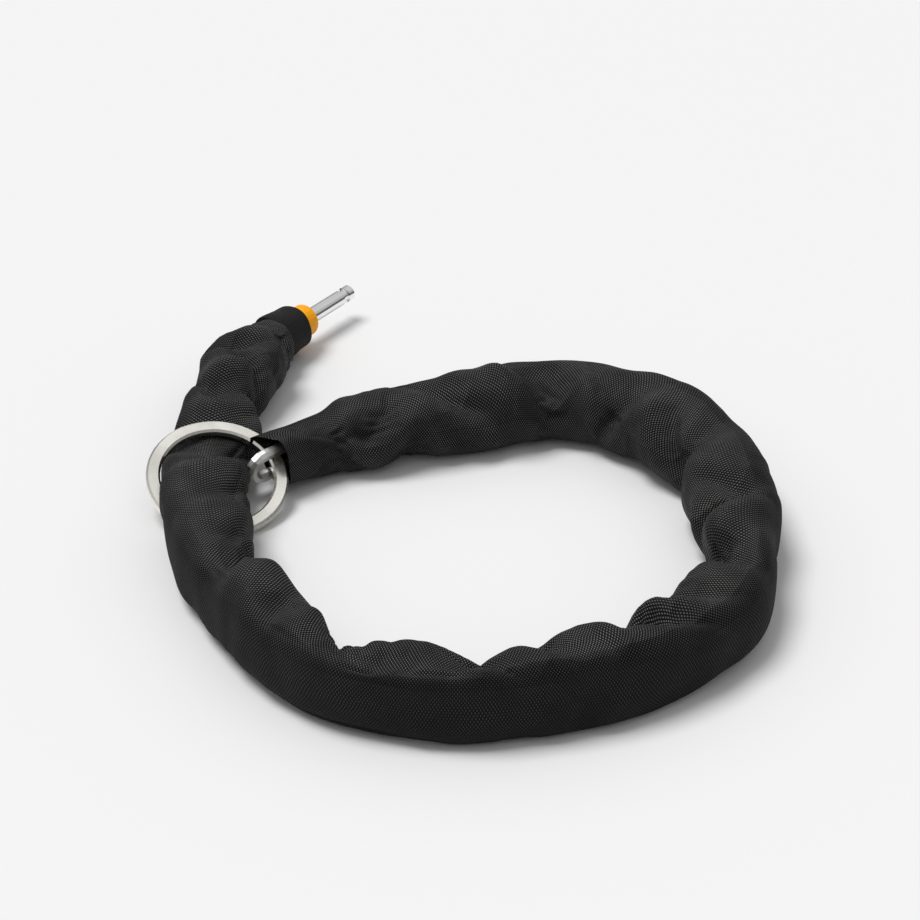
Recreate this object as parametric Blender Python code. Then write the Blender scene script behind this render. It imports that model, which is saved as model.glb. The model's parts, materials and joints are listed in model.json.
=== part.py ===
"""Plug-in chain for a bicycle's frame lock, lying in a noose on a flat surface.

A hardened steel chain of long square-bar links runs inside a woven sleeve.  One end
carries a steel plug with a collar and a cuff, the other a large welded ring.  The plug
end has been passed through the ring, so the chain lies in a loop.

Metres, +Z up, the surface at z = 0, the origin under the middle of the bounding box.
Links are numbered from the plug (0) to the ring (33).  Even links lie flat and odd
links stand on edge, so every contact between them turns about a vertical line, except
the one behind the plug, which lifts.
"""
import math

import bmesh
import bpy
import numpy as np
from mathutils import Matrix, Vector

# ---- chain ------------------------------------------------------------------------
BAR = 0.006                # square bar of the links
BAR_CHAMFER = 0.0017
LINK_INNER = 0.0302        # inside length of a link
LINK_WIDTH = 0.0206        # outside width of a link
CONTACT_GAP = 0.0010       # slack between two links' bars
FLAT_STEP = LINK_INNER - BAR - 2 * CONTACT_GAP     # hinge to hinge over a flat link
END_LINK_ROLL = -12.0      # the last link leans with the ring
EDGE_STEP = LINK_INNER + BAR                       # hinge to hinge over a link on edge
ROOT_LINK = 5              # the link on edge that stands inside the ring
ROOT_CENTRE = (-0.13345, 0.00454)
ROOT_HEADING = -88.0
CHAIN_HEIGHT = 0.0134
HINGE_RISES = {0: 3.6, 1: 2.4, 2: 1.2, 3: 0.5, 4: 0.3, 5: 1.0, 6: 2.8, 7: 3.4, 8: 1.9,
               9: 0.8, 10: 0.2, 28: 0.1, 29: 0.4, 30: 1.1, 31: 2.1, 32: 3.4, 33: 4.7,
               34: 4.7}    # in mm, over the height of the rest

# turn of the chain, in degrees, at each hinge of the tail and along the loop
TAIL_TURNS = (16.5, 13, 3.5, 3.3, 0.2)
START_TURNS = (7, 7, 7)
SIDE_TURNS = (-2, -2, 18.5, 18.5, 18.5, 18.5, 11.7, 11.7)    # both sides of the loop
FRONT_LINKS = 6
FRONT_BULGE = -9.0
END_TURNS = (-10, 13, 13)

# ---- ring -------------------------------------------------------------------------
RING_RADIUS = 0.0370
RING_WIDTH = 0.0073
RING_THICKNESS = 0.0055
RING_OFFSET = (0.0052, -0.0036)     # from the root link's centre, in plan
RING_HEIGHT = 0.0170
RING_LEAN = 22.9
RING_LEAN_HEADING = -66.2

# ---- sleeve -----------------------------------------------------------------------
SLEEVE_WALL = 0.0012
SLEEVE_SIDES = 12
SLEEVE_HALF_WIDTH = 0.0210
SLEEVE_END_HALF_WIDTH = 0.0165
SLEEVE_HEIGHT = 0.0410
SLEEVE_END_HEIGHT = 0.0360
BOXINESS = 0.8              # 1 is an ellipse, less is squarer
SLEEVE_GAP = 0.0030         # half of the gap between two sections

# ---- plug -------------------------------------------------------------------------
PIN_RADIUS = 0.00475
PIN_TIP = 0.0712            # distances along the plug from its rivet
COLLAR_FACE = 0.0300
COLLAR_RADIUS = 0.0096
COLLAR_ROUNDING = 0.0028
CUFF_RADIUS = 0.0137
CUFF_MOUTH_RADIUS = 0.0125
CUFF_SPAN = (-0.0010, 0.0190)
FORK_FACE = 0.0152
RIVET_RADIUS = 0.0030
FIT_GAP = 0.0003            # between faces that touch on the real object

COLOURS = {
    "steel": (0.55, 0.55, 0.53, 1.0),
    "nickel": (0.76, 0.75, 0.70, 1.0),
    "orange": (0.95, 0.42, 0.02, 1.0),
    "sleeve": (0.018, 0.018, 0.019, 1.0),
    "cuff": (0.014, 0.014, 0.015, 1.0),
}


# ---- plain helpers ------------------------------------------------------------------
def clear_scene():
    for obj in list(bpy.data.objects):
        bpy.data.objects.remove(obj, do_unlink=True)


def material(name, kind, roughness, metallic):
    mat = bpy.data.materials.new(name)
    mat.use_nodes = True
    shader = mat.node_tree.nodes["Principled BSDF"]
    shader.inputs["Base Color"].default_value = COLOURS[kind]
    shader.inputs["Roughness"].default_value = roughness
    shader.inputs["Metallic"].default_value = metallic
    return mat


METAL = ("steel", 0.35, 1.0)
CLOTH = ("sleeve", 0.85, 0.0)


def add_object(name, mesh, finish, matrix=None):
    obj = bpy.data.objects.new(name, mesh)
    bpy.context.scene.collection.objects.link(obj)
    if matrix is not None:
        obj.matrix_world = matrix
    mesh.materials.append(material(name, *finish))
    return obj


def loft(name, outlines, loop=False):
    """A closed mesh through equal outlines; caps the ends unless they join in a loop."""
    mesh = bpy.data.meshes.new(name)
    bm = bmesh.new()
    rows = [[bm.verts.new(p) for p in outline] for outline in outlines]
    count = len(rows[0])
    pairs = list(zip(rows, rows[1:]))
    if loop:
        pairs.append((rows[-1], rows[0]))
    for row, following in pairs:
        for i in range(count):
            j = (i + 1) % count
            bm.faces.new((row[i], row[j], following[j], following[i]))
    if not loop:
        bm.faces.new(rows[0][::-1])
        bm.faces.new(rows[-1])
    bmesh.ops.recalc_face_normals(bm, faces=bm.faces)
    bm.to_mesh(mesh)
    bm.free()
    mesh.shade_smooth()
    mesh.set_sharp_from_angle(angle=math.radians(35))
    return mesh


def turned(name, profile, sides=24):
    """A solid turned about +X from (x, radius) pairs; a closed profile makes a tube."""
    outlines = []
    for step in range(sides):
        turn = 2 * math.pi * step / sides
        outlines.append([(x, r * math.cos(turn), r * math.sin(turn)) for x, r in profile])
    return loft(name, outlines, loop=True)


def turned_solid(name, profile, sides=24):
    """A turned solid without a hole; the profile leaves out the two points on the axis."""
    outlines = []
    for x, r in profile:
        turns = [2 * math.pi * i / sides for i in range(sides)]
        outlines.append([(x, r * math.cos(t), r * math.sin(t)) for t in turns])
    return loft(name, outlines)


def bar_section(width, height, chamfer):
    """Corners of a chamfered rectangle, as (across, up) pairs."""
    w, h, c = width / 2, height / 2, chamfer
    return [(w, -h + c), (w, h - c), (w - c, h), (-w + c, h),
            (-w, h - c), (-w, -h + c), (-w + c, -h), (w - c, -h)]


# ---- the chain's layout ---------------------------------------------------------------
def link_headings():
    """Heading of every link in degrees; the loop's two sides run in opposite directions."""
    tail = [ROOT_HEADING]
    for turn in reversed(TAIL_TURNS):
        tail.insert(0, tail[0] - turn)
    headings = list(tail)
    for turn in START_TURNS:
        headings.append(headings[-1] + turn)
    near_side = list(headings[-1] + np.cumsum(SIDE_TURNS))
    far_side = [h + 180.0 for h in near_side]
    share = np.arange(1, FRONT_LINKS + 1) / (FRONT_LINKS + 1)
    front = near_side[-1] + (far_side[0] - near_side[-1]) * share
    front = list(front + FRONT_BULGE * np.sin(math.pi * share))
    end = list(far_side[-1] + np.cumsum(END_TURNS))
    return headings + near_side + front + far_side + end


def is_flat(link):
    return link % 2 == 0


def hinge_points(headings):
    """Hinge i joins links i-1 and i; the last point is the ring end's bar."""
    steps = []
    for link, heading in enumerate(headings):
        length = FLAT_STEP if is_flat(link) else EDGE_STEP
        turn = math.radians(heading)
        steps.append(length * np.array((math.cos(turn), math.sin(turn))))
    points = {ROOT_LINK: np.array(ROOT_CENTRE) - steps[ROOT_LINK] / 2}
    for link in range(ROOT_LINK, len(headings)):
        points[link + 1] = points[link] + steps[link]
    for link in range(ROOT_LINK - 1, -1, -1):
        points[link] = points[link + 1] - steps[link]
    hinges = range(len(headings) + 1)
    heights = [CHAIN_HEIGHT + HINGE_RISES.get(i, 0.0) / 1000 for i in hinges]
    return [Vector((*points[i], heights[i])) for i in hinges]


def frame_at(point, heading, rise=0.0, roll=0.0):
    """A local frame with +X along the heading, tipped up by rise; angles in radians."""
    return (Matrix.Translation(point) @ Matrix.Rotation(heading, 4, "Z")
            @ Matrix.Rotation(-rise, 4, "Y") @ Matrix.Rotation(roll, 4, "X"))


# ---- links ------------------------------------------------------------------------------
def link_mesh(name, flat, bend_steps=6):
    """One link along +X, with its first hinge at the local origin."""
    middle = (FLAT_STEP if flat else EDGE_STEP) / 2
    reach = LINK_INNER / 2 + BAR - LINK_WIDTH / 2
    bend = (LINK_WIDTH - BAR) / 2
    outlines = []
    for side in (1, -1):
        for step in range(bend_steps + 1):
            turn = math.pi * (step / bend_steps - 0.5)
            along = math.cos(turn) * side
            across = math.sin(turn) * side
            outline = []
            for out, up in bar_section(BAR, BAR, BAR_CHAMFER):
                x = middle + side * reach + (bend + out) * along
                y = (bend + out) * across
                outline.append((x, y, up) if flat else (x, -up, y))
            outlines.append(outline)
    return loft(name, outlines, loop=True)


def make_links(points, headings):
    for link, heading in enumerate(headings):
        last = link == len(headings) - 1
        mesh = link_mesh(f"chain_link_{link:02d}", is_flat(link), 8 if last else 6)
        start, end = points[link], points[link + 1]
        rise = math.atan2(end.z - start.z, (end - start).xy.length)
        roll = math.radians(END_LINK_ROLL) if last else 0.0
        place = frame_at(start, math.radians(heading), rise, roll)
        add_object(f"chain_link_{link:02d}", mesh, METAL, place)


# ---- ring -------------------------------------------------------------------------------
def make_ring():
    tube_radius = RING_RADIUS - RING_WIDTH / 2
    section = bar_section(RING_WIDTH, RING_THICKNESS, 0.0011)
    outlines = []
    for step in range(56):
        turn = 2 * math.pi * step / 56
        outlines.append([((tube_radius + out) * math.cos(turn),
                          (tube_radius + out) * math.sin(turn), up) for out, up in section])
    centre = Vector((ROOT_CENTRE[0] + RING_OFFSET[0], ROOT_CENTRE[1] + RING_OFFSET[1],
                     RING_HEIGHT))
    place = (Matrix.Translation(centre)
             @ Matrix.Rotation(math.radians(RING_LEAN_HEADING), 4, "Z")
             @ Matrix.Rotation(math.radians(RING_LEAN), 4, "Y"))
    add_object("end_ring", loft("end_ring", outlines, loop=True),
               ("nickel", 0.3, 1.0), place)


# ---- sleeve -------------------------------------------------------------------------------
def sleeve_outline(station, inset=0.0):
    """Points round the sleeve at a station: a rounded tube with a flat underside."""
    point, heading, half_width, low, high = station
    across = Vector((-math.sin(heading), math.cos(heading), 0.0))
    middle = Vector((point[0], point[1], (low + high) / 2))
    wide = half_width - inset
    tall = (high - low) / 2 - inset
    outline = []
    for side in range(SLEEVE_SIDES):
        turn = 2 * math.pi * (side + 0.5) / SLEEVE_SIDES
        sideways = math.copysign(abs(math.cos(turn)) ** BOXINESS, math.cos(turn))
        upwards = math.copysign(abs(math.sin(turn)) ** BOXINESS, math.sin(turn))
        upwards = upwards / math.cos(math.pi / SLEEVE_SIDES) ** BOXINESS
        outline.append(middle + across * wide * sideways + Vector((0, 0, tall * upwards)))
    return outline


def make_sleeve_section(name, stations):
    """A thin-walled tube through the stations, open at both ends."""
    outside = [sleeve_outline(s) for s in stations]
    inside = [sleeve_outline(s, SLEEVE_WALL) for s in stations]
    mesh = bpy.data.meshes.new(name)
    bm = bmesh.new()
    skins = []
    for rows in (outside, inside):
        skins.append([[bm.verts.new(p) for p in row] for row in rows])
    for rows in skins:
        for row, following in zip(rows, rows[1:]):
            for i in range(SLEEVE_SIDES):
                j = (i + 1) % SLEEVE_SIDES
                bm.faces.new((row[i], row[j], following[j], following[i]))
    for end in (0, -1):
        outer, inner = skins[0][end], skins[1][end]
        for i in range(SLEEVE_SIDES):
            j = (i + 1) % SLEEVE_SIDES
            bm.faces.new((outer[i], outer[j], inner[j], inner[i]))
    bmesh.ops.recalc_face_normals(bm, faces=bm.faces)
    bm.to_mesh(mesh)
    bm.free()
    mesh.shade_smooth()
    add_object(name, mesh, CLOTH)


def plain_stations(link, points, headings):
    """Five stations for the section on a link: from mid-link before it to mid-link after."""
    before = math.radians(headings[link - 1])
    own = math.radians(headings[link])
    after = math.radians(headings[link + 1])
    start = (points[link - 1] + points[link]) / 2
    end = (points[link + 1] + points[link + 2]) / 2
    start = start + SLEEVE_GAP * Vector((math.cos(before), math.sin(before), 0))
    end = end - SLEEVE_GAP * Vector((math.cos(after), math.sin(after), 0))
    ends = (SLEEVE_END_HALF_WIDTH, 0.0, SLEEVE_END_HEIGHT)
    full = (SLEEVE_HALF_WIDTH, 0.0, SLEEVE_HEIGHT)
    return [
        (start, before, *ends),
        (points[link], (before + own) / 2, *full),
        ((points[link] + points[link + 1]) / 2, own, *full),
        (points[link + 1], (own + after) / 2, *full),
        (end, after, *ends),
    ]


def along(points, headings, link, distance, half_width, low, high):
    """A station at a distance past a link's first hinge."""
    heading = math.radians(headings[link])
    point = points[link] + distance * Vector((math.cos(heading), math.sin(heading), 0))
    return (point, heading, half_width, low, high)


def make_sleeve(points, headings):
    last = len(headings) - 1
    for link in range(1, last + 1, 2):
        name = f"sleeve_section_{link // 2 + 1:02d}"

        def at(on_link, distance, half_width, low, high):
            return along(points, headings, on_link, distance, half_width, low, high)

        if link == 1:
            stations = plain_stations(link, points, headings)
            stations[0] = at(0, FLAT_STEP - 0.0060, 0.0150, 0.0, 0.0340)
        elif link == ROOT_LINK - 2:
            stations = plain_stations(link, points, headings)
            stations[3] = at(3, EDGE_STEP - 0.0140, 0.0200, 0.0, 0.0400)
            stations[4] = at(3, EDGE_STEP - 0.0042, SLEEVE_END_HALF_WIDTH, 0.0, 0.0350)
        elif link == ROOT_LINK:
            # pressed flat under the ring's far edge, lifted towards its near edge
            stations = [at(4, 0.0005, 0.0185, 0.0, 0.0320), at(4, 0.0060, 0.0200, 0.0, 0.0244),
                        at(4, 0.0220, 0.0200, 0.0, 0.0248), at(5, 0.0080, 0.0195, 0.0, 0.0300),
                        at(5, 0.0250, 0.0160, 0.0, 0.0370), at(6, 0.0035, 0.0124, 0.0, 0.0380)]
        elif link == ROOT_LINK + 2:
            # carried over the ring's near edge, then down to the surface
            stations = [at(6, 0.0052, 0.0150, 0.0088, 0.0380),
                        at(6, 0.0130, 0.0174, 0.0106, 0.0415),
                        at(6, 0.0215, 0.0180, 0.0078, 0.0415),
                        at(7, 0.0080, 0.0210, 0.0, 0.0410),
                        *plain_stations(link, points, headings)[3:]]
        elif link == last:
            stations = [at(last - 1, FLAT_STEP / 2 + 0.0004, 0.0150, 0.0015, 0.0340),
                        at(last, 0.0, 0.0145, 0.0035, 0.0345),
                        at(last, 0.0085, 0.0140, 0.0045, 0.0340)]
        elif link == last - 2:
            stations = plain_stations(link, points, headings)
            stations[-1] = at(last - 1, FLAT_STEP / 2, 0.0150, 0.0015, 0.0340)
        else:
            stations = plain_stations(link, points, headings)
        make_sleeve_section(name, stations)


# ---- plug -------------------------------------------------------------------------------
def make_pin(place):
    profile = [(0.0118, 0.0026), (FORK_FACE + FIT_GAP, 0.0026),
               (FORK_FACE + FIT_GAP, PIN_RADIUS), (PIN_TIP - 0.0105, PIN_RADIUS),
               (PIN_TIP - 0.0098, 0.0036), (PIN_TIP - 0.0062, 0.0036),
               (PIN_TIP - 0.0055, PIN_RADIUS), (PIN_TIP - 0.0012, PIN_RADIUS),
               (PIN_TIP - 0.0003, 0.0041), (PIN_TIP, 0.0032)]
    add_object("plug_pin", turned_solid("plug_pin", profile), METAL, place)


def make_collar(place):
    """A collar with a domed front; its rear flange fills the cuff's mouth."""
    bore = PIN_RADIUS + FIT_GAP
    flange = CUFF_MOUTH_RADIUS - 0.0018
    dome = COLLAR_FACE - COLLAR_ROUNDING
    profile = [(0.0158, bore), (0.0158, flange), (0.0178, flange), (0.0184, COLLAR_RADIUS),
               (dome, COLLAR_RADIUS)]
    for step in range(1, 5):
        turn = math.pi / 2 * step / 5
        profile.append((dome + COLLAR_ROUNDING * math.sin(turn),
                        COLLAR_RADIUS - COLLAR_ROUNDING * (1 - math.cos(turn))))
    profile += [(COLLAR_FACE, COLLAR_RADIUS - COLLAR_ROUNDING), (COLLAR_FACE, bore)]
    add_object("plug_collar", turned("plug_collar", profile), ("orange", 0.45, 0.0), place)


def make_cuff(place):
    rear, front = CUFF_SPAN
    wall = 0.0012
    profile = [(rear, CUFF_RADIUS - wall), (rear, CUFF_RADIUS - 0.0002),
               (rear + 0.0010, CUFF_RADIUS), (front - 0.0010, CUFF_MOUTH_RADIUS),
               (front, CUFF_MOUTH_RADIUS - 0.0004), (front, CUFF_MOUTH_RADIUS - wall)]
    add_object("plug_cuff", turned("plug_cuff", profile, 28), ("cuff", 0.8, 0.0), place)


def cutter(name, radius, length, place):
    bm = bmesh.new()
    bmesh.ops.create_cone(bm, cap_ends=True, segments=20, radius1=radius, radius2=radius,
                          depth=length)
    mesh = bpy.data.meshes.new(name)
    bm.to_mesh(mesh)
    bm.free()
    obj = bpy.data.objects.new(name, mesh)
    bpy.context.scene.collection.objects.link(obj)
    obj.matrix_world = place
    obj.hide_render = True
    obj.display_type = "WIRE"
    return obj


def make_fork(place):
    """Two cheeks either side of the first link, joined by a block behind the pin."""
    rear, web = -0.0052, 0.0106
    inner, outer, half = 0.0035, 0.0066, 0.0068
    side = [(rear, inner), (web, inner), (web, -inner), (rear, -inner), (rear, -outer),
            (FORK_FACE, -outer), (FORK_FACE, outer), (rear, outer)]
    outlines = [[(x, y, z) for x, z in side] for y in (-half, half)]
    fork = add_object("plug_fork", loft("plug_fork", outlines), METAL, place)
    cuts = (("rivet_hole_cut", RIVET_RADIUS + FIT_GAP, 0.03, Matrix.Identity(4)),
            ("pin_socket_cut", 0.0026 + FIT_GAP, 0.008,
             Matrix.Translation((FORK_FACE, 0, 0)) @ Matrix.Rotation(math.pi / 2, 4, "Y")))
    for name, radius, length, offset in cuts:
        cut = fork.modifiers.new(name, "BOOLEAN")
        cut.operation = "DIFFERENCE"
        cut.solver = "EXACT"
        cut.object = cutter(name, radius, length, place @ offset)


def make_rivet(place):
    upright = place @ Matrix.Rotation(-math.pi / 2, 4, "Y")
    low = 0.0066 + FIT_GAP
    profile = [(-low - 0.0014, 0.0032), (-low - 0.0008, 0.0044), (-low, 0.0044),
               (-low, RIVET_RADIUS), (low, RIVET_RADIUS), (low, 0.0044),
               (low + 0.0008, 0.0044), (low + 0.0014, 0.0032)]
    add_object("fork_rivet", turned_solid("fork_rivet", profile, 20), METAL, upright)


def make_plug(points, headings):
    place = frame_at(points[0], math.radians(headings[0] + 180.0))
    make_fork(place)
    make_rivet(place)
    make_pin(place)
    make_collar(place)
    make_cuff(place)


def main():
    clear_scene()
    headings = link_headings()
    points = hinge_points(headings)
    make_links(points, headings)
    make_ring()
    make_sleeve(points, headings)
    make_plug(points, headings)


main()
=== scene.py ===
"""Looks of the plug-in bicycle chain: its woven sleeve, its metal parts and the studio.

The chain, ring and plug come from the CAD frame.  The sleeve is one tube of cloth,
settled by a small cloth simulation round the chain, the surface and the ring, and then
cut at the chain's hinges into pieces, of which those between the hinges ride on the chain's
bodies.  Metres, in the row frame.
"""
import json
import math

import bmesh
import bpy
import numpy as np
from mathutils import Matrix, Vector


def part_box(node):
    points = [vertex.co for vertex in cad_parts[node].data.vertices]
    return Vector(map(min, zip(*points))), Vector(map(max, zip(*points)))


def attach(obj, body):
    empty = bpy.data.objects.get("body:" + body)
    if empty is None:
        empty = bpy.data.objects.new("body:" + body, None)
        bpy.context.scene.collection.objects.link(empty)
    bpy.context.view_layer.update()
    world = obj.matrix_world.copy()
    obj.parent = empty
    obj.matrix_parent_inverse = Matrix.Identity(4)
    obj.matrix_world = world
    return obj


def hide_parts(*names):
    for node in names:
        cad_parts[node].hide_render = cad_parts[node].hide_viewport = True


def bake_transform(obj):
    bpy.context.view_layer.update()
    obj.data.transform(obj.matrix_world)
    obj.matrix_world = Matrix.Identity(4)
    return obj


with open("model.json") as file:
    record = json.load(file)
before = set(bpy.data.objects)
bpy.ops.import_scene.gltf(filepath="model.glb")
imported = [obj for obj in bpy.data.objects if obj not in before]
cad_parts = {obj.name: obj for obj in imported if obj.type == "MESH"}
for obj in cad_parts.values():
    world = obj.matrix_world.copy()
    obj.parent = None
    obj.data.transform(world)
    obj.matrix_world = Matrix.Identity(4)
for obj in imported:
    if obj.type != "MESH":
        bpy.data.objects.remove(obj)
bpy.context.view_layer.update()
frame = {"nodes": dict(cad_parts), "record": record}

# ---- view -------------------------------------------------------------------------
LOOK_AT = Vector((-0.00205, 0.04834, 0.0))
VIEW_DISTANCE = 1.312
VIEW_ELEVATION = math.radians(31.0)
LENS = 95.0
SENSOR_WIDTH = 36.0
CLIP_START = 0.01

# ---- sleeve -----------------------------------------------------------------------
ROW_PITCH = 0.0036          # grid spacing along the sleeve before it settles
COLUMNS = 40                # grid columns round the sleeve
GIRTH = 0.1300              # the cloth tube's circumference
SLACK = 1.06                # cloth length over the length of the path it covers
CHAIN_HULL = 0.0117         # radius that the chain holds clear inside the sleeve
PLUG_END_HULL = 0.0134      # the same beside the plug's first link
SQUARE_ROWS = 5             # rows that turn square to the plug
LAID_SHARE = 0.45           # how far the cloth's own lengths follow the laid shape
REFINE = 2                  # finer grid steps to each settled one
FLOOR_CLEARANCE = 0.0006
START_NUMBER = -0.62        # the first row's place, counted in links
START_REACH = 0.0010        # from the rivet towards the pin
END_NUMBER = 33.05          # the hem's place, counted in links
HEM_REACH = 0.0045          # from the last link's centre towards the ring
PATH_SOFTENING = 3          # rows
WIDTH_SOFTENING = 2         # rows
PLUG_END_HALF_WIDTHS = (0.0130, 0.0155)
# powers of the section's sine and cosine: 1 is an ellipse, less is squarer
OUTER_SQUARENESS = 0.70
INNER_SQUARENESS = 0.85
# the hem's upper far side reaches out: how far, where round it and where along it
HEM_FLAP = 0.008
HEM_FLAP_ANGLE = 135
HEM_FLAP_SPREAD = 60
HEM_FLAP_START = 32.2
HEM_FLAP_LENGTH = 0.85      # in links

# settling
SETTLE_STEPS = 300
SWEEPS = 2                  # rounds of stretch and shear in each step
SHAPE_PULL = 0.20           # how strongly the settling cloth keeps to the laid shape
PRESSED_HOLD = 0.3          # how far cloth resists pressing, next to how it resists drawing
MOTION_KEPT = 0.90          # share of its motion that the cloth keeps from step to step
WEIGHT = 1.0e-5             # move down in each step
FULLNESS = 1.2e-5           # move outwards in each step
SHEAR_HOLD = 0.3
TWO_ROW_HOLD = 0.12
BEND_HOLDS = {2: 0.10, 4: 0.03}     # by the number of columns between the points
FLOOR_GRIP = 0.5
FIXED_START_ROWS = 3
FIXED_END_ROWS = 2
CHAIN_REACH = 8             # rows each way in which the nearest stretch of chain is sought
RING_TUBE_RADIUS = 0.03335
RING_HULL = (0.0047, 0.0038)        # half width and half thickness that the bar holds clear
# places along the sleeve in links, with the chain's hull and the cloth's girth there
HULL_PLACES = (START_NUMBER, -0.3, 0.4, 0.9, 32.4, END_NUMBER)
HULL_RADII = (0.0120, PLUG_END_HULL, PLUG_END_HULL, CHAIN_HULL, CHAIN_HULL, 0.0108)
GIRTH_PLACES = (START_NUMBER, 0.6, 31.2, 32.3, END_NUMBER)
GIRTHS = (0.088, GIRTH, GIRTH, 0.100, 0.084)
# the sleeve as laid, at links: half its width and how far it lies to the left, in mm
LAY = ((0, 15.5, 5.0), (1, 20.5, 5.5), (2, 19.6, 6.5), (3, 21.5, 4.5), (4, 22.0, 0.7),
       (5, 22.0, -0.6), (6, 22.3, -0.7), (7, 22.5, -3.8), (8, 20.2, -7.8), (9, 18.9, -7.1),
       (10, 20.6, 1.6), (11, 18.4, 1.4), (12, 17.0, 3.4), (13, 17.6, 5.0), (14, 17.1, 4.6),
       (15, 17.3, 2.7), (16, 18.7, 1.7), (17, 16.7, -4.3), (18, 20.4, -2.6), (19, 20.2, -2.6),
       (20, 20.5, 3.1), (21, 19.6, 6.9), (22, 20.7, 7.4), (23, 22.5, 3.6), (24, 21.3, -3.3),
       (25, 22.5, -4.0), (26, 22.8, -3.6), (27, 20.5, -6.0), (28, 22.0, -3.0),
       (29, 21.5, 0.5), (30, 20.0, -1.6), (31, 20.0, 1.0), (31.65, 18.6, 0.6),
       (31.9, 14.0, 0.4), (33, 13.0, 0.6))
# lowest and highest point of the sleeve as laid, at places counted in links, in mm
HEIGHTS = ((START_NUMBER, 4.5, 29.5), (-0.2, 3.5, 31.0), (0.3, 1.5, 34.0), (1.0, 0.5, 39.0),
           (1.6, 0.5, 40.5), (3.2, 0.5, 39.5), (3.75, 0.5, 31.0), (4.15, 0.5, 24.0),
           (4.7, 1.0, 25.5), (5.05, 2.0, 33.0), (5.35, 4.0, 39.0), (5.7, 8.0, 41.0),
           (6.1, 12.5, 42.5), (6.5, 10.5, 42.5), (6.9, 3.0, 42.0), (7.4, 0.5, 41.0),
           (11.4, 0.5, 42.0), (12.0, 0.5, 41.0), (13.0, 0.5, 42.5), (14.4, 0.5, 41.0),
           (15.5, 0.5, 42.0), (17.0, 0.5, 41.5), (19.0, 0.5, 41.0), (29.5, 0.5, 41.0),
           (30.6, 0.8, 40.0), (31.2, 0.8, 37.0), (31.65, 1.0, 36.0), (31.9, 2.5, 32.0),
           (32.4, 3.5, 32.0), (END_NUMBER, 5.0, 32.0))

# folds pressed into the sleeve as laid: link, degrees round it, depth in mm (less than 0
# raises a ridge), reach along it in mm, spread round it in degrees, slant in mm a radian.
# 0 degrees is the left, which is the inside of the loop, and 90 degrees the top
FOLDS = ((0.05, 50, 8, 7, 70, -8), (0.45, 130, 6, 7, 50, 8), (0.75, 60, -6, 7, 50, -8),
         (1.15, 100, 10, 9, 55, 14), (1.6, 150, -5, 8, 50, 0), (1.9, 50, 11, 9, 50, -12),
         (2.3, 85, -6, 7, 45, 14), (2.75, 15, 11, 10, 60, 6), (3.0, 100, 9, 10, 50, -14),
         (3.4, 60, -5, 8, 50, 6), (4.7, 55, 8, 9, 50, 14), (5.3, 20, 6, 9, 60, 4),
         (5.9, 60, -4, 10, 60, 10), (6.6, 55, 8, 12, 60, 14), (7.3, 80, -4, 10, 50, -8),
         (7.9, 40, 6, 9, 60, 8), (8.8, 50, 15, 11, 82, 3), (9.5, 60, -6, 13, 55, 4),
         (10.5, 85, 6, 12, 55, 16), (11.1, 50, -4, 9, 50, 0), (11.75, 45, 11, 15, 60, 14),
         (12.75, 98, 11, 13, 32, 6), (13.1, 50, -3, 16, 45, 0), (14.45, 50, 10, 14, 55, -12),
         (15.5, 62, 9, 9, 38, 8), (16.2, 58, -4, 9, 40, 4), (17.2, 35, 17, 8, 80, 16),
         (17.75, 45, -7, 8, 50, 16), (18.6, 90, 6, 10, 50, 14), (19.1, 30, -4, 8, 60, 6),
         (19.6, 10, 5, 8, 50, 8), (20.4, 20, 15, 12, 80, -10), (21.0, 75, -6, 10, 60, 18),
         (21.6, 20, 12, 8, 65, 10), (22.3, 80, 7, 10, 50, -18), (22.9, 50, -5, 9, 50, 10),
         (23.8, 20, 13, 10, 80, 8), (24.7, 55, 13, 10, 70, 18), (25.3, 70, -8, 12, 90, 6),
         (26.1, 40, 12, 12, 65, -12), (26.8, 40, -5, 9, 60, 8), (27.4, -10, 10, 12, 65, 8),
         (28.0, 85, 8, 12, 60, 18), (28.7, 45, -6, 9, 60, -6), (29.5, 60, 13, 12, 60, 20),
         (30.15, 55, -5, 9, 65, 4), (30.5, -30, 9, 10, 55, -4), (31.05, 50, 9, 10, 50, -12),
         (31.6, 110, -2, 5, 70, 0), (32.1, 60, 5, 8, 60, 8),
         # corners of the outside
         (25.4, 130, -3, 14, 55, 0), (24.2, 150, 1, 12, 50, 0), (23.1, 165, -3, 14, 55, 0),
         (21.9, 175, -3, 14, 55, 0), (20.6, 175, 1, 12, 50, 0),
         (19.2, 180, -3, 14, 55, 0), (17.6, 180, 1, 12, 50, 0), (10.4, 180, -3, 14, 50, 0),
         (28.3, 135, -2, 12, 50, 0), (29.6, 130, 1, 12, 50, 0))
FOLD_WIDENING = 1.9         # a fold's whole half width over its reach
DENT_POWER = 1.5            # how pointed a dent is; a ridge has straight sides
# small chance creases on the inside and the top, as lowest and highest value of each
CREASES = 70
CREASE_LINKS = (0.3, 32.5)
CREASE_ANGLES = (-40, 95)
CREASE_DEPTHS = (1.5, 4.0)
CREASE_SIGNS = (-0.8, 1.0)
CREASE_REACHES = (3.0, 6.0)
CREASE_SPREADS = (22, 45)
CREASE_SLANTS = (-26, 26)
UNEVENNESS = 0.0006
UNEVEN_SCALES = (4, 9)      # in rows and columns

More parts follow.
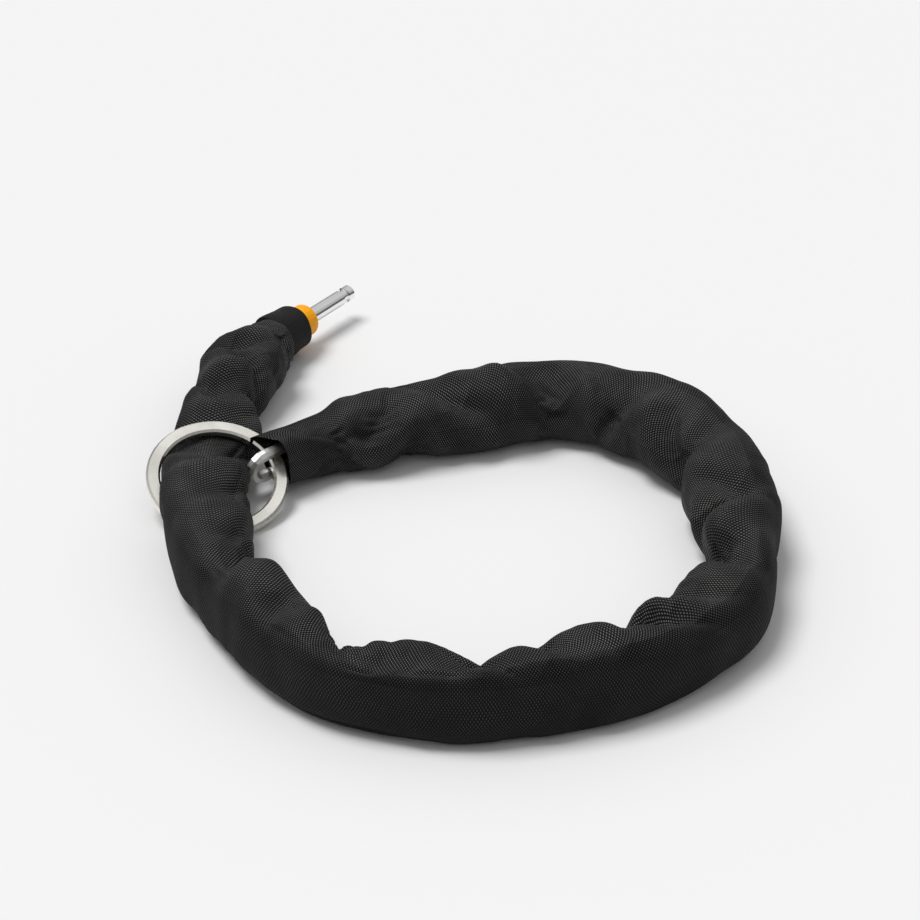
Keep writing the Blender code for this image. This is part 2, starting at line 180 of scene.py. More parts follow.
# ---- cuff -------------------------------------------------------------------------
# steps along the plug and outwards, from the rear edge and from the mouth's edge
CUFF_REAR = ((0.0002, -0.0024), (-0.0002, -0.0012), (-0.0004, -0.0002), (0.0006, 0.0003),
             (0.0040, 0.0005))
CUFF_MOUTH = ((-0.0075, 0.0010), (-0.0012, 0.0007), (0.0001, 0.0001), (0.0006, -0.0007),
              (0.0003, -0.0016), (-0.0010, -0.0026))
CUFF_REAR_BAND = 0.002      # how much of the core's ends is read for their radius
CUFF_MOUTH_BAND = 0.004
CUFF_SIDES = 64
CUFF_REFINE = 4
CUFF_SAG = 0.0010
CUFF_WAVES = (0.00025, 0.0002)

# ---- looks ------------------------------------------------------------------------
SLEEVE_THREADS = (0.00076, 0.00112)     # pitch along and round the cloth
SLEEVE_TONES = ((0.095, 0.094, 0.092, 1), (0.190, 0.188, 0.183, 1))
CUFF_THREADS = (0.00050, 0.00070)
CUFF_TONES = ((0.045, 0.045, 0.045, 1), (0.075, 0.075, 0.075, 1))
GROUND_TONE = (0.0018, 0.0018, 0.0021, 1)
PAINTED_SHADE_OUTER_THREAD_SHARE = 0.30   # painted shade: share of the thread's brightness kept on the outside of the loop, which faces away from the key light
THREAD_HEIGHT = 0.00036
FACET_SCALE = 26.0
FACET_HEIGHT = 0.014
FLOOR_TONE = (0.70, 0.70, 0.70, 1)
FLOOR_SIZE = 6.0
SUN_STRENGTH = 2.4
SUN_ANGLE = math.radians(28)
SUN_FROM = Vector((-0.36, 0.04, 1.0))
HORIZON_LIGHT = 0.10
CEILING_LIGHT = 0.64


# ---- reading the frame ----------------------------------------------------------------
def middle(node):
    low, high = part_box(node)
    return (np.array(low) + np.array(high)) / 2


def unit(v):
    return v / np.maximum(np.linalg.norm(v, axis=-1, keepdims=True), 1e-12)


def link_centres():
    names = sorted(n for n in frame["nodes"] if n.startswith("chain_link_"))
    return np.array([middle(name) for name in names])


def body_of(node):
    for body, members in frame["record"]["behaviour"]["bodies"].items():
        if node in members:
            return body
    raise ValueError(node)


def best_normal(node):
    """The direction in which a flat node is thinnest."""
    points = np.array([v.co for v in frame["nodes"][node].data.vertices])
    points = points - points.mean(0)
    vectors = np.linalg.eigh(points.T @ points)[1]
    normal = vectors[:, 0]
    return normal if normal[2] > 0 else -normal


LINKS = link_centres()
RIVET = middle("fork_rivet")
CUFF = middle("plug_cuff")
PLUG_WAY = unit(CUFF - LINKS[0])
RING_CENTRE = middle("end_ring")
RING_NORMAL = best_normal("end_ring")


# ---- sleeve: the path and the tube before it settles -------------------------------------
def cubic(a, b, c, d, t):
    """The point at t between b and c, on a smooth curve through all four."""
    return 0.5 * (2 * b + (c - a) * t + (2 * a - 5 * b + 4 * c - d) * t ** 2
                  + (3 * b - a - 3 * c + d) * t ** 3)


def smooth_line(points, spacing):
    """A smooth line through the points with even spacing, and each row's place in them."""
    points = np.asarray(points)
    dense, stamps = [], []
    padded = np.vstack([2 * points[0] - points[1], points, 2 * points[-1] - points[-2]])
    for i in range(1, len(padded) - 2):
        for t in np.linspace(0, 1, 16, endpoint=False):
            dense.append(cubic(*padded[i - 1:i + 3], t))
            stamps.append(i - 1 + t)
    dense.append(points[-1])
    stamps.append(len(points) - 1)
    dense, stamps = np.array(dense), np.array(stamps)
    arc = np.r_[0, np.cumsum(np.linalg.norm(np.diff(dense, axis=0), axis=1))]
    count = int(round(arc[-1] / spacing)) + 1
    even = np.linspace(0, arc[-1], count)
    line = np.column_stack([np.interp(even, arc, dense[:, k]) for k in range(3)])
    return line, np.interp(even, arc, stamps)


def soften(values, radius):
    """A running average that keeps the ends in place."""
    kernel = np.hanning(2 * radius + 3)[1:-1]
    kernel = kernel / kernel.sum()
    before = 2 * values[:1] - values[radius:0:-1]
    after = 2 * values[-1:] - values[-2:-radius - 2:-1]
    padded = np.concatenate([before, values, after])
    if values.ndim == 1:
        return np.convolve(padded, kernel, "valid")
    return np.column_stack([np.convolve(padded[:, k], kernel, "valid")
                            for k in range(values.shape[1])])


def leftward(line):
    tangent = unit(np.gradient(line, axis=0))
    return unit(np.column_stack([-tangent[:, 1], tangent[:, 0], np.zeros(len(line))]))


def sleeve_path():
    """Rows of the sleeve: the chain's line, and the link number at each row."""
    start = RIVET + PLUG_WAY * START_REACH
    hem = LINKS[-1] + unit(LINKS[-1] - LINKS[-2]) * HEM_REACH
    points = np.vstack([start, LINKS[:-1], hem])
    numbers = np.r_[START_NUMBER, np.arange(len(LINKS) - 1), END_NUMBER]
    line, stamps = smooth_line(points, ROW_PITCH)
    numbers = np.interp(stamps, np.arange(len(points)), numbers)
    return soften(line, PATH_SOFTENING), numbers


def section_heights(numbers):
    """Lowest and highest point of the sleeve along it, in metres."""
    stations = np.array(HEIGHTS)
    return [np.interp(numbers, stations[:, 0], stations[:, k]) / 1000 for k in (1, 2)]


def laid_tube():
    """The sleeve as laid: a tube round the chain with its main folds."""
    line, numbers = sleeve_path()
    links, half, shift = np.array(LAY).T
    half = soften(np.interp(numbers, links, half), WIDTH_SOFTENING) / 1000
    plug_end = half[:SQUARE_ROWS]
    plug_end[:] = np.minimum(plug_end, np.linspace(*PLUG_END_HALF_WIDTHS, SQUARE_ROWS))
    shift = np.interp(numbers, np.r_[START_NUMBER, links], np.r_[0.0, shift])
    shift = soften(shift, WIDTH_SOFTENING) / 1000
    low, high = section_heights(numbers)
    middle_line = line + leftward(line) * shift[:, None]
    left = leftward(middle_line)
    turn = 2 * math.pi * (np.arange(COLUMNS) + 0.5) / COLUMNS
    # squarer on the outside of the loop, where the cloth is drawn tight
    square = np.where(np.cos(turn) < 0, OUTER_SQUARENESS, INNER_SQUARENESS)
    sideways = np.sign(np.cos(turn)) * np.abs(np.cos(turn)) ** square
    upwards = np.sign(np.sin(turn)) * np.abs(np.sin(turn)) ** square
    across = (half[:, None] * sideways[None])[..., None]
    tube = middle_line[:, None, :] + left[:, None, :] * across
    tube[..., 2] = ((low + high) / 2)[:, None] + ((high - low) / 2)[:, None] * upwards[None]
    # the first rows stand square to the plug, inside its cuff
    for row in range(SQUARE_ROWS):
        lean = (tube[row] - line[row]) @ PLUG_WAY
        tube[row] -= PLUG_WAY * (lean * (1 - row / SQUARE_ROWS))[:, None]
    # the hem reaches further out on its upper far side
    off = np.abs(np.degrees(turn) - HEM_FLAP_ANGLE) / HEM_FLAP_SPREAD
    flap = np.clip(1 - off, 0, 1) ** 0.8
    fade = np.clip((numbers - HEM_FLAP_START) / HEM_FLAP_LENGTH, 0, 1) ** 1.5
    way = unit(line[-1] - line[-3])
    tube = tube + way * (HEM_FLAP * fade[:, None] * flap[None])[..., None]
    return press_folds(tube, numbers, turn, line), line, numbers


def press_folds(tube, numbers, turn, chain):
    """Presses the main folds into the tube, and adds faint unevenness everywhere."""
    rng = np.random.default_rng(7)
    inward = unit(chain[:, None, :] - tube)
    link_pitch = 1000 * np.mean(np.linalg.norm(np.diff(LINKS, axis=0), axis=1))
    creases = np.column_stack([
        rng.uniform(*CREASE_LINKS, CREASES), rng.uniform(*CREASE_ANGLES, CREASES),
        rng.uniform(*CREASE_DEPTHS, CREASES) * rng.choice(CREASE_SIGNS, CREASES),
        rng.uniform(*CREASE_REACHES, CREASES), rng.uniform(*CREASE_SPREADS, CREASES),
        rng.uniform(*CREASE_SLANTS, CREASES)])
    for link, angle, depth, reach, spread, slant in (*FOLDS, *creases):
        round_way = (np.degrees(turn) - angle + 180) % 360 - 180
        away = (numbers[:, None] - link) * link_pitch - np.radians(round_way)[None] * slant
        sides = np.clip(1 - np.abs(away) / (FOLD_WIDENING * reach), 0, 1)
        power = DENT_POWER if depth > 0 else 1.0
        dent = sides ** power * np.exp(-(round_way[None] / spread) ** 2)
        tube = tube + inward * (depth / 1000 * dent)[..., None]
    for scale in UNEVEN_SCALES:
        noise = rng.normal(size=(len(numbers) // scale + 3, COLUMNS // scale + 1))
        rows = np.linspace(0, noise.shape[0] - 1.001, len(numbers))
        cols = np.arange(COLUMNS) / COLUMNS * noise.shape[1]
        r0, c0 = rows.astype(int), cols.astype(int)
        fr, fc = (rows - r0)[:, None], (cols - c0)[None]
        fr, fc = fr * fr * (3 - 2 * fr), fc * fc * (3 - 2 * fc)
        c1 = (c0 + 1) % noise.shape[1]
        patch = ((noise[r0][:, c0] * (1 - fr) + noise[r0 + 1][:, c0] * fr) * (1 - fc)
                 + (noise[r0][:, c1] * (1 - fr) + noise[r0 + 1][:, c1] * fr) * fc)
        tube = tube + inward * (UNEVENNESS * patch)[..., None]
    return tube


# ---- sleeve: settling ------------------------------------------------------------------
def pull(a, b, rest, stiffness, weight_a, weight_b, give=1.0):
    """Moves paired points towards their rest distance; returns both moves."""
    d = b - a
    length = np.sqrt((d * d).sum(-1, keepdims=True)) + 1e-9
    total = np.maximum(weight_a + weight_b, 1e-9)
    hold = np.where(length < rest, stiffness * give, stiffness)
    change = d * (hold * (length - rest) / length / total)
    return change * weight_a, -change * weight_b


def relax_rows(x, step, rest, stiffness, free):
    """Distance constraints between row i and row i + step, in non-overlapping batches."""
    for first in range(2 * step):
        a = slice(first, x.shape[0] - step, 2 * step)
        b = slice(first + step, x.shape[0], 2 * step)
        da, db = pull(x[a], x[b], rest[a], stiffness, free[a], free[b], PRESSED_HOLD)
        x[a] += da
        x[b] += db


def relax_columns(x, step, rest, stiffness, free):
    """Distance constraints between column j and column j + step, in batches."""
    for first in range(2 * step):
        index = np.arange(first, COLUMNS, 2 * step)
        other = (index + step) % COLUMNS
        gap = rest if rest.shape[1] == 1 else rest[:, index]
        da, db = pull(x[:, index], x[:, other], gap, stiffness, free, free)
        x[:, index] += da
        x[:, other] += db


def relax_diagonals(x, rest, stiffness, free):
    """Distance constraints across the grid's squares, which resist shear."""
    for shift in (1, -1):
        for first in (0, 1):
            a = slice(first, x.shape[0] - 1, 2)
            b = slice(first + 1, x.shape[0], 2)
            other = np.roll(x, -shift, axis=1)
            da, db = pull(x[a], other[b], rest[first::2][:x[a].shape[0]], stiffness,
                          free[a], free[b], PRESSED_HOLD)
            x[a] += da
            x[b] += np.roll(db, shift, axis=1)


def surface_normals(x):
    along = np.gradient(x, axis=0)
    around = np.roll(x, -1, axis=1) - np.roll(x, 1, axis=1)
    return unit(np.cross(around, along))


def keep_outside_chain(x, chain, radius):
    """Pushes cloth out of the chain's hull, looking at the nearest stretch of the chain."""
    count = len(chain)
    rows = np.arange(count)
    tangent = unit(np.gradient(chain, axis=0))
    half = 1.05 * ROW_PITCH
    best = np.full(x.shape[:2], 1e9)
    away = np.zeros_like(x)
    for offset in range(-CHAIN_REACH, CHAIN_REACH + 1, 2):
        index = np.clip(rows + offset, 0, count - 1)
        d = x - chain[index][:, None, :]
        way = tangent[index][:, None, :]
        along = np.clip((d * way).sum(-1, keepdims=True), -half, half)
        d = d - along * way
        distance = np.sqrt((d * d).sum(-1))
        closer = distance < best
        best = np.where(closer, distance, best)
        away = np.where(closer[..., None], d, away)
    short = np.clip(radius - best, 0, None)
    x += away / (best[..., None] + 1e-9) * short[..., None]


def keep_off_ring(x):
    """Pushes cloth out of the ring's bar."""
    d = x - RING_CENTRE
    height = d @ RING_NORMAL
    plan = d - height[..., None] * RING_NORMAL
    radial = np.sqrt((plan * plan).sum(-1)) + 1e-9
    outwards = plan / radial[..., None]
    across = radial - RING_TUBE_RADIUS
    # the bar is wider than thick, so it is tested as an ellipse
    wide, thick = RING_HULL
    inside = np.sqrt((across / wide) ** 2 + (height / thick) ** 2)
    hit = inside < 1.0
    grow = np.where(hit, 1.0 / np.maximum(inside, 0.05) - 1.0, 0.0)
    x += (outwards * (across * grow)[..., None]
          + RING_NORMAL * (height * grow)[..., None]) * hit[..., None]


def settle(tube, chain, numbers):
    """A cloth simulation by position-based dynamics on the tube's grid."""
    x = tube.copy()
    rows = x.shape[0]
    free = np.ones((rows, 1, 1))
    free[:FIXED_START_ROWS] = 0.0
    free[-FIXED_END_ROWS:] = 0.0
    hull = np.interp(numbers, HULL_PLACES, HULL_RADII)[:, None]
    row_rest = ROW_PITCH * SLACK
    girth = np.interp(numbers, GIRTH_PLACES, GIRTHS)
    column_rest = (girth / COLUMNS)[:, None, None]
    laid_round = np.linalg.norm(np.roll(x, -1, axis=1) - x, axis=2)[..., None]
    laid_along = np.linalg.norm(x[1:] - x[:-1], axis=2)[..., None]
    row_rest = (1 - LAID_SHARE) * row_rest + LAID_SHARE * laid_along
    column_rest = (1 - LAID_SHARE) * column_rest + LAID_SHARE * laid_round
    diagonal_rest = np.sqrt(row_rest ** 2 + ((column_rest[1:] + column_rest[:-1]) / 2) ** 2)
    two_rows = row_rest[1:] + row_rest[:-1]
    radius = girth / (2 * math.pi)
    bend = {step: (2 * radius * np.sin(math.pi * step / COLUMNS))[:, None, None]
            for step in BEND_HOLDS}
    previous = x.copy()
    tight = np.clip(-np.cos(2 * math.pi * (np.arange(COLUMNS) + 0.5) / COLUMNS), 0, 1)
    hold_shape = SHAPE_PULL * (1 + 2 * tight)[None, :, None]
    for _ in range(SETTLE_STEPS):
        velocity = (x - previous) * MOTION_KEPT
        previous = x.copy()
        x = x + velocity * free
        x[..., 2] -= WEIGHT * free[..., 0]
        x += surface_normals(x) * FULLNESS * free
        x += (tube - x) * (hold_shape * free)
        for _ in range(SWEEPS):
            relax_rows(x, 1, row_rest, 1.0, free)
            relax_columns(x, 1, column_rest, 1.0, free)
            relax_diagonals(x, diagonal_rest, SHEAR_HOLD, free)
        relax_rows(x, 2, two_rows, TWO_ROW_HOLD, free)
        for step, stiffness in BEND_HOLDS.items():
            relax_columns(x, step, bend[step], stiffness, free)
        keep_outside_chain(x, chain, hull)
        keep_off_ring(x)
        on_floor = x[..., 2] < FLOOR_CLEARANCE
        x[..., 2] = np.maximum(x[..., 2], FLOOR_CLEARANCE)
        hold = np.where(on_floor, FLOOR_GRIP, 0.0)[..., None]
        x[..., :2] += (previous[..., :2] - x[..., :2]) * hold
    return x


# ---- sleeve: finer mesh and pieces --------------------------------------------------------
def finer(x, factor):
    """Refines the grid by a smooth cubic in both directions."""
    padded = np.concatenate([2 * x[:1] - x[1:2], x, 2 * x[-1:] - x[-2:-1]])
    rows = []
    for i in range(x.shape[0] - 1):
        for k in range(factor):
            rows.append(cubic(*padded[i:i + 4], k / factor))
    rows.append(x[-1])
    y = np.array(rows)
    columns = []
    for j in range(x.shape[1]):
        around = [y[:, (j + o) % x.shape[1]] for o in (-1, 0, 1, 2)]
        for k in range(factor):
            columns.append(cubic(*around, k / factor))
    return np.stack(columns, axis=1)


def grid_piece(name, x, normals, uv, first, last, mat):
    """One piece of the sleeve: rows first to last, with normals from the whole tube."""
    rows, columns = last - first + 1, x.shape[1]
    verts = x[first:last + 1].reshape(-1, 3)
    i, j = np.meshgrid(np.arange(rows - 1), np.arange(columns), indexing="ij")
    k = (j + 1) % columns
    faces = np.stack([i * columns + j, i * columns + k, (i + 1) * columns + k,
                      (i + 1) * columns + j], axis=-1).reshape(-1, 4)
    mesh = bpy.data.meshes.new(name)
    mesh.from_pydata(verts.tolist(), [], faces.tolist())
    layer = mesh.uv_layers.new(name="cloth")
    u0, u1 = uv[0][first:last + 1], uv[1]
    corner_u = np.stack([u0[i], u0[i], u0[i + 1], u0[i + 1]], axis=-1).reshape(-1)
    corner_v = np.stack([u1[j], u1[j + 1], u1[j + 1], u1[j]], axis=-1).reshape(-1)
    layer.data.foreach_set("uv", np.column_stack([corner_u, corner_v]).ravel())
    mesh.polygons.foreach_set("use_smooth", np.ones(len(faces), bool))
    own_normals = normals[first:last + 1].reshape(-1, 3)
    mesh.normals_split_custom_set_from_vertices(own_normals.tolist())
    mesh.materials.append(mat)
    obj = bpy.data.objects.new(name, mesh)
    bpy.context.scene.collection.objects.link(obj)
    return obj


def sleeve_bodies():
    """The bodies along the chain, from the plug, with the span of links that each holds."""
    spans = [["plug", -1.0, START_NUMBER]]
    for link in range(len(LINKS)):
        body = body_of(f"chain_link_{link:02d}")
        if spans[-1][0] == body:
            spans[-1][2] = link
        else:
            spans.append([body, link, link])
    return spans


def row_at(numbers, number):
    """The row that lies nearest to a place counted in links."""
    return int(np.argmin(np.abs(numbers - number)))


def build_sleeve(mat):
    """The settled sleeve, cut at the chain's hinges into pieces, of which those between the
    hinges ride on the bodies.
    """
    tube, chain, numbers = laid_tube()
    x = finer(settle(tube, chain, numbers), REFINE)
    numbers = np.interp(np.arange(x.shape[0]) / REFINE, np.arange(len(numbers)), numbers)
    normals = surface_normals(x)
    cloth_along = np.arange(x.shape[0]) * ROW_PITCH * SLACK / REFINE
    cloth_round = np.arange(x.shape[1] + 1) * GIRTH / x.shape[1]
    uv = (cloth_along, cloth_round)
    spans = sleeve_bodies()
    for index, (body, low, high) in enumerate(spans):
        if index:
            before = spans[index - 1]
            a = row_at(numbers, max(before[2], numbers[0]))
            b = row_at(numbers, min(low, numbers[-1]))
            piece = grid_piece(f"sleeve_bend_{index:02d}", x, normals, uv, a, b, mat)
            bend_between(piece, x[a], x[b])
        if high > low and index:
            a, b = row_at(numbers, low), row_at(numbers, min(high, numbers[-1]))
            piece = grid_piece(f"sleeve_run_{index:02d}", x, normals, uv, a, b, mat)
            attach(piece, body)
    for node in sorted(n for n in frame["nodes"] if n.startswith("sleeve_section_")):
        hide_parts(node)


def build_cuff(mat):
    """The cloth band that is drawn over the plug's cuff, with both its edges turned in."""
    points = np.array([v.co for v in frame["nodes"]["plug_cuff"].data.vertices])
    way = unit(middle("plug_pin") - CUFF)
    along = (points - CUFF) @ way
    radial = np.linalg.norm(points - CUFF - along[:, None] * way, axis=1)
    rear, mouth = along.min(), along.max()
    rear_radius = radial[along < rear + CUFF_REAR_BAND].max()
    mouth_radius = radial[along > mouth - CUFF_MOUTH_BAND].max()
    profile = [(rear + step, rear_radius + out) for step, out in CUFF_REAR]
    profile += [(mouth + step, mouth_radius + out) for step, out in CUFF_MOUTH]
    side = unit(np.cross((0, 0, 1), way))
    up = np.cross(way, side)
    turn = 2 * math.pi * np.arange(CUFF_SIDES) / CUFF_SIDES
    sag = CUFF_SAG * (side - up)
    rng = np.random.default_rng(3)
    rings = []
    for station, radius in profile:
        wave = (CUFF_WAVES[0] * np.sin(3 * turn + rng.uniform(0, 6))
                + CUFF_WAVES[1] * np.sin(5 * turn))
        ring = (np.cos(turn)[:, None] * side - np.sin(turn)[:, None] * up)
        rings.append(CUFF + way * station + sag + ring * (radius + wave)[:, None])
    x = finer(np.array(rings), CUFF_REFINE)
    lengths = np.r_[0, np.cumsum(np.linalg.norm(np.diff(x, axis=0), axis=2).mean(1))]
    round_way = np.linspace(0, 2 * math.pi * rear_radius, x.shape[1] + 1)
    piece = grid_piece("cuff_band", x, surface_normals(x), (lengths, round_way), 0,
                       x.shape[0] - 1, mat)
    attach(piece, "plug")
    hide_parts("plug_cuff")


def bend_between(piece, row_a, row_b):
    """Measures where a piece's end rows lie and bakes the piece's transform into its mesh;
    the piece is not blended onto the bodies.
    """
    centre_a, centre_b = row_a.mean(0), row_b.mean(0)
    way = unit(centre_b - centre_a)
    first = ((row_a - centre_a) @ way).max()
    last = ((row_b - centre_a) @ way).min()
    if last - first < 0.004:
        middle_way = (first + last) / 2
        first, last = middle_way - 0.002, middle_way + 0.002
    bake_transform(piece)


# ---- materials -------------------------------------------------------------------------
def new_material(name):
    mat = bpy.data.materials.new(name)
    mat.use_nodes = True
    shader = mat.node_tree.nodes["Principled BSDF"]
    return mat, mat.node_tree, shader


def math_node(tree, operation, a, b=None):
    node = tree.nodes.new("ShaderNodeMath")
    node.operation = operation
    for socket, value in zip(node.inputs, (a, b)):
        if value is None:
            continue
        if isinstance(value, (int, float)):
            socket.default_value = value
        else:
            tree.links.new(value, socket)
    return node.outputs[0]


def ramp(tree, source, low, high, dark, light):
    node = tree.nodes.new("ShaderNodeMapRange")
    node.inputs["From Min"].default_value = low
    node.inputs["From Max"].default_value = high
    node.inputs["To Min"].default_value = dark
    node.inputs["To Max"].default_value = light
    tree.links.new(source, node.inputs["Value"])
    return node.outputs["Result"]


def mix_colour(tree, share, a, b):
    node = tree.nodes.new("ShaderNodeMix")
    node.data_type = "RGBA"
    tree.links.new(share, node.inputs["Factor"])
    for socket, value in ((node.inputs["A"], a), (node.inputs["B"], b)):
        if isinstance(value, tuple):
            socket.default_value = value
        else:
            tree.links.new(value, socket)
    return node.outputs["Result"]


def cloth_coordinates(tree):
    """The cloth's own coordinates in metres: along it, and round it."""
    node = tree.nodes.new("ShaderNodeUVMap")
    node.uv_map = "cloth"
    return node.outputs["UV"]


def split_axes(tree, source):
    node = tree.nodes.new("ShaderNodeSeparateXYZ")
    tree.links.new(source, node.inputs["Vector"])
    return node.outputs


def noise(tree, scale, detail=3.0):
    node = tree.nodes.new("ShaderNodeTexNoise")
    node.inputs["Scale"].default_value = scale
    node.inputs["Detail"].default_value = detail
    source = tree.nodes.new("ShaderNodeTexCoord").outputs["Object"]
    tree.links.new(source, node.inputs["Vector"])
    return node.outputs["Fac"]


def weave(tree, along_pitch, round_pitch):
    """Height of a plain weave from the cloth's own coordinates, and the raised threads."""
    cloth = split_axes(tree, cloth_coordinates(tree))
    u = math_node(tree, "DIVIDE", cloth["X"], along_pitch)
    v = math_node(tree, "DIVIDE", cloth["Y"], round_pitch)
    cell = math_node(tree, "ADD", math_node(tree, "FLOOR", u), math_node(tree, "FLOOR", v))
    odd = math_node(tree, "MODULO", math_node(tree, "ABSOLUTE", cell), 2.0)
    arc_u = math_node(tree, "SINE", math_node(tree, "MULTIPLY",
                                              math_node(tree, "FRACT", u), math.pi))
    arc_v = math_node(tree, "SINE", math_node(tree, "MULTIPLY",
                                              math_node(tree, "FRACT", v), math.pi))
    dome = math_node(tree, "MULTIPLY", math_node(tree, "POWER", arc_u, 0.7),
                     math_node(tree, "POWER", arc_v, 0.5))
    thread = math_node(tree, "MULTIPLY", dome, odd)
    under = math_node(tree, "MULTIPLY", math_node(tree, "MULTIPLY", arc_u, 0.35),
                      math_node(tree, "SUBTRACT", 1.0, odd))
    return math_node(tree, "ADD", thread, under), thread


def bump(tree, shader, height, distance, strength, after=None):
    """Adds a bump to the shader's normal, on top of the bump named in after."""
    node = tree.nodes.new("ShaderNodeBump")
    node.inputs["Distance"].default_value = distance
    node.inputs["Strength"].default_value = strength
    tree.links.new(height, node.inputs["Height"])
    if after is not None:
        tree.links.new(after, node.inputs["Normal"])
    tree.links.new(node.outputs["Normal"], shader.inputs["Normal"])
    return node.outputs["Normal"]


def facets(tree, scale):
    """Height of flat facets with creases between them, along the cloth."""
    cloth = cloth_coordinates(tree)
    warp = tree.nodes.new("ShaderNodeTexNoise")
    warp.inputs["Scale"].default_value = scale * 0.8
    tree.links.new(cloth, warp.inputs["Vector"])
    shift = tree.nodes.new("ShaderNodeVectorMath")
    shift.operation = "MULTIPLY_ADD"
    tree.links.new(warp.outputs["Color"], shift.inputs[0])
    shift.inputs[1].default_value = (0.5 / scale,) * 3
    tree.links.new(cloth, shift.inputs[2])
    cells = tree.nodes.new("ShaderNodeTexVoronoi")
    cells.inputs["Scale"].default_value = scale
    tree.links.new(shift.outputs["Vector"], cells.inputs["Vector"])
    return cells.outputs["Distance"]


def outer_side(tree):
    """1 where the cloth lies on the outside of the loop, 0 on the rest of it."""
    cloth = split_axes(tree, cloth_coordinates(tree))
    off = math_node(tree, "ABSOLUTE",
                    math_node(tree, "SUBTRACT", cloth["Y"], 0.5 * GIRTH))
    return ramp(tree, off, 0.10 * GIRTH, 0.20 * GIRTH, 1.0, 0.0)


def sleeve_material(name, threads, tones, creases_and_painted_shade):
    """Black nylon: short raised threads on a near-black ground, with faint scuffs; on the
    outside of the loop the threads carry painted shade.
    """
    mat, tree, shader = new_material(name)
    height, raised = weave(tree, *threads)
    wear = noise(tree, 55.0, 4.0)
    thread = ramp(tree, raised, 0.40, 0.95, 0.0, 1.0)
    # painted shade: the threads on the outside of the loop, which faces away from the key
    # light, are dimmed in the colour; the roughness below follows these dimmed threads
    if creases_and_painted_shade:
        thread = math_node(tree, "MULTIPLY", thread,
                           ramp(tree, outer_side(tree), 0.0, 1.0, 1.0,
                                PAINTED_SHADE_OUTER_THREAD_SHARE))
    light = mix_colour(tree, ramp(tree, wear, 0.35, 0.72, 0.0, 1.0), *tones)
    colour = mix_colour(tree, thread, GROUND_TONE, light)
    tree.links.new(colour, shader.inputs["Base Color"])
    tree.links.new(ramp(tree, thread, 0.0, 1.0, 0.85, 0.36), shader.inputs["Roughness"])
    shader.inputs["Specular IOR Level"].default_value = 0.20
    normal = bump(tree, shader, height, THREAD_HEIGHT, 1.0)
    normal = bump(tree, shader, noise(tree, 180.0), 0.0005, 0.3, normal)
    if creases_and_painted_shade:
        inner = math_node(tree, "SUBTRACT", 1.0,
                          math_node(tree, "MULTIPLY", outer_side(tree), 0.8))
        folds = math_node(tree, "MULTIPLY", facets(tree, FACET_SCALE), inner)
        bump(tree, shader, folds, FACET_HEIGHT, 1.0, normal)
    return mat


def metal_material(name, colour, rough_low, rough_high):
    """Metal with faint clouds in its colour and its roughness."""
    mat, tree, shader = new_material(name)
    shader.inputs["Metallic"].default_value = 1.0
    cloud = noise(tree, 30.0, 2.0)
    dark = tuple(c * 0.93 for c in colour) + (1.0,)
    tone = mix_colour(tree, ramp(tree, cloud, 0.35, 0.65, 0.0, 1.0), dark, (*colour, 1.0))
    tree.links.new(tone, shader.inputs["Base Color"])
    rubbed = noise(tree, 60.0, 2.0)
    tree.links.new(ramp(tree, rubbed, 0.3, 0.7, rough_low, rough_high),
                   shader.inputs["Roughness"])
    return mat


def plastic_material(name, colour):
    """Matt plastic with a fine grain."""
    mat, tree, shader = new_material(name)
    cloud = noise(tree, 140.0, 3.0)
    dark = tuple(c * 0.8 for c in colour) + (1.0,)
    tone = mix_colour(tree, ramp(tree, cloud, 0.3, 0.7, 0.0, 1.0), dark, (*colour, 1.0))
    tree.links.new(tone, shader.inputs["Base Color"])
    shader.inputs["Roughness"].default_value = 0.45
    shader.inputs["Specular IOR Level"].default_value = 0.25
    grain = noise(tree, 2500.0, 2.0)
    bump(tree, shader, grain, 0.00003, 0.5)
    return mat


def paint_nodes():
    """Gives the CAD nodes that show their materials."""
    chain = metal_material("zinc_steel", (0.70, 0.70, 0.67), 0.30, 0.42)
    ring = metal_material("nickel_steel", (0.90, 0.885, 0.82), 0.20, 0.32)
    pin = metal_material("bright_steel", (0.88, 0.88, 0.88), 0.07, 0.14)
    orange = plastic_material("orange_plastic", (1.0, 0.40, 0.0))
    cuff = plastic_material("cuff_core", (0.012, 0.012, 0.013))
    for name, obj in frame["nodes"].items():
        if name.startswith("chain_link") or name in ("plug_fork", "fork_rivet"):
            finish = chain
        elif name == "end_ring":
            finish = ring
        elif name == "plug_pin":
            finish = pin
        elif name == "plug_collar":
            finish = orange
        elif name == "plug_cuff":
            finish = cuff
        else:
            continue
        obj.data.materials.clear()
        obj.data.materials.append(finish)


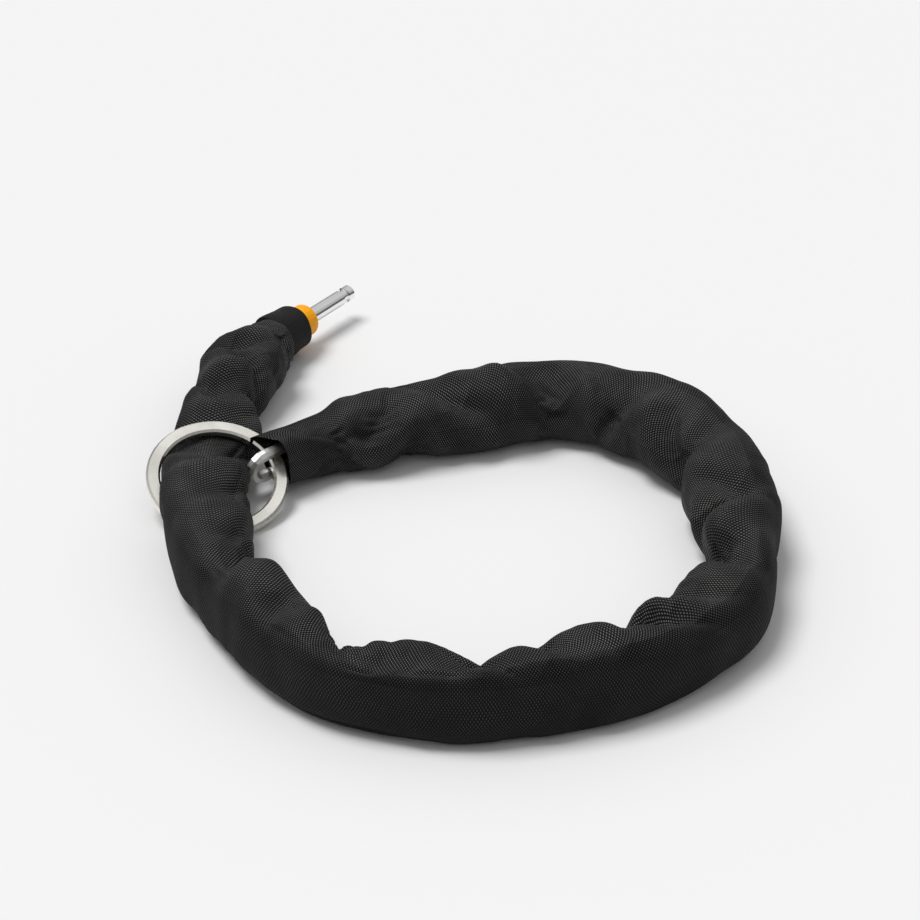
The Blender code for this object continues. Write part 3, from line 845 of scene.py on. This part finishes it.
# ---- studio ------------------------------------------------------------------------------
def make_camera():
    data = bpy.data.cameras.new("camera")
    data.lens = LENS
    data.sensor_width = SENSOR_WIDTH
    data.clip_start = CLIP_START
    obj = bpy.data.objects.new("camera", data)
    back = Vector((0, -math.cos(VIEW_ELEVATION), math.sin(VIEW_ELEVATION)))
    obj.location = LOOK_AT + back * VIEW_DISTANCE
    obj.rotation_euler = (math.pi / 2 - VIEW_ELEVATION, 0, 0)
    bpy.context.scene.collection.objects.link(obj)
    bpy.context.scene.camera = obj


def make_studio():
    """A pale floor, one wide soft sun and a ceiling that brightens upwards."""
    bm = bmesh.new()
    bmesh.ops.create_grid(bm, x_segments=1, y_segments=1, size=FLOOR_SIZE)
    mesh = bpy.data.meshes.new("floor")
    bm.to_mesh(mesh)
    bm.free()
    floor = bpy.data.objects.new("floor", mesh)
    bpy.context.scene.collection.objects.link(floor)
    mat, _, shader = new_material("pale_floor")
    shader.inputs["Base Color"].default_value = FLOOR_TONE
    shader.inputs["Roughness"].default_value = 0.9
    mesh.materials.append(mat)
    sun = bpy.data.lights.new("key", "SUN")
    sun.energy = SUN_STRENGTH
    sun.angle = SUN_ANGLE
    holder = bpy.data.objects.new("key", sun)
    holder.rotation_euler = SUN_FROM.to_track_quat("Z", "Y").to_euler()
    bpy.context.scene.collection.objects.link(holder)
    world = bpy.data.worlds.new("studio")
    world.use_nodes = True
    tree = world.node_tree
    way = split_axes(tree, tree.nodes.new("ShaderNodeTexCoord").outputs["Generated"])
    # a dim horizon under a bright ceiling, which the metal mirrors
    strength = ramp(tree, way["Z"], 0.05, 0.55, HORIZON_LIGHT, CEILING_LIGHT)
    background = tree.nodes["Background"]
    background.inputs["Color"].default_value = (1, 1, 1, 1)
    tree.links.new(strength, background.inputs["Strength"])
    bpy.context.scene.world = world
    bpy.context.scene.view_settings.view_transform = "Standard"


make_camera()
make_studio()
paint_nodes()
build_sleeve(sleeve_material("woven_nylon", SLEEVE_THREADS, SLEEVE_TONES, True))
build_cuff(sleeve_material("cuff_nylon", CUFF_THREADS, CUFF_TONES, False))
